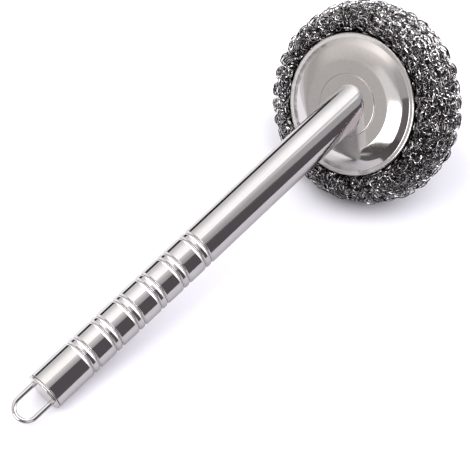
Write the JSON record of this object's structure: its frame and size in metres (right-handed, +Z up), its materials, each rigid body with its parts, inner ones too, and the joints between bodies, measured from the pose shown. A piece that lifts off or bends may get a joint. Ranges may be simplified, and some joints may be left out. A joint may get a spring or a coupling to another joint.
{
  "type": "grill brush",
  "caption": "Scouring brush: a round knitted steel wire pad held by claws under a pressed steel cover, on a slanted ribbed tube handle that ends in a wire hanging loop.",
  "frame": {"origin": "middle of the length and width, on the table that the brush lies on", "axes": "+X from the hanging loop to the head, +Y across the handle, +Z up; the handle's axis lies in the XZ plane and rises towards +X at 11.5 degrees"},
  "size_m": [0.2184, 0.0802, 0.0703],
  "materials": {
    "polished_steel": "polished stainless steel",
    "cap_steel": "polished stainless steel",
    "wire_steel": "bright drawn wire",
    "pressed_steel": "pressed and polished stainless steel",
    "braze_metal": "as brazed",
    "plain_steel": "turned",
    "zinc_plate": "bright zinc plate",
    "spring_steel": "dark spring steel",
    "knitted_wire": "knit of flat bright steel wire with dark gaps"
  },
  "bodies": {
    "brush": {"handle_tube": "polished_steel", "end_cap": "cap_steel", "hanging_loop": "wire_steel", "tube_braze_ring": "braze_metal", "cover_disc": "pressed_steel", "center_stud": "plain_steel", "spacer_sleeve": "zinc_plate", "claw_plate": "spring_steel", "plain_washer": "zinc_plate", "lock_washer": "spring_steel", "hex_nut": "zinc_plate"},
    "scourer": {"scourer_body": "knitted_wire", "scourer_tie": "wire_steel"}
  },
  "joints": [
    {"name": "scourer_pull", "type": "slide", "parent": "brush", "child": "scourer", "axis": [0.8339, 0, -0.5519], "range_m": [0, 0.05]}
  ]
}
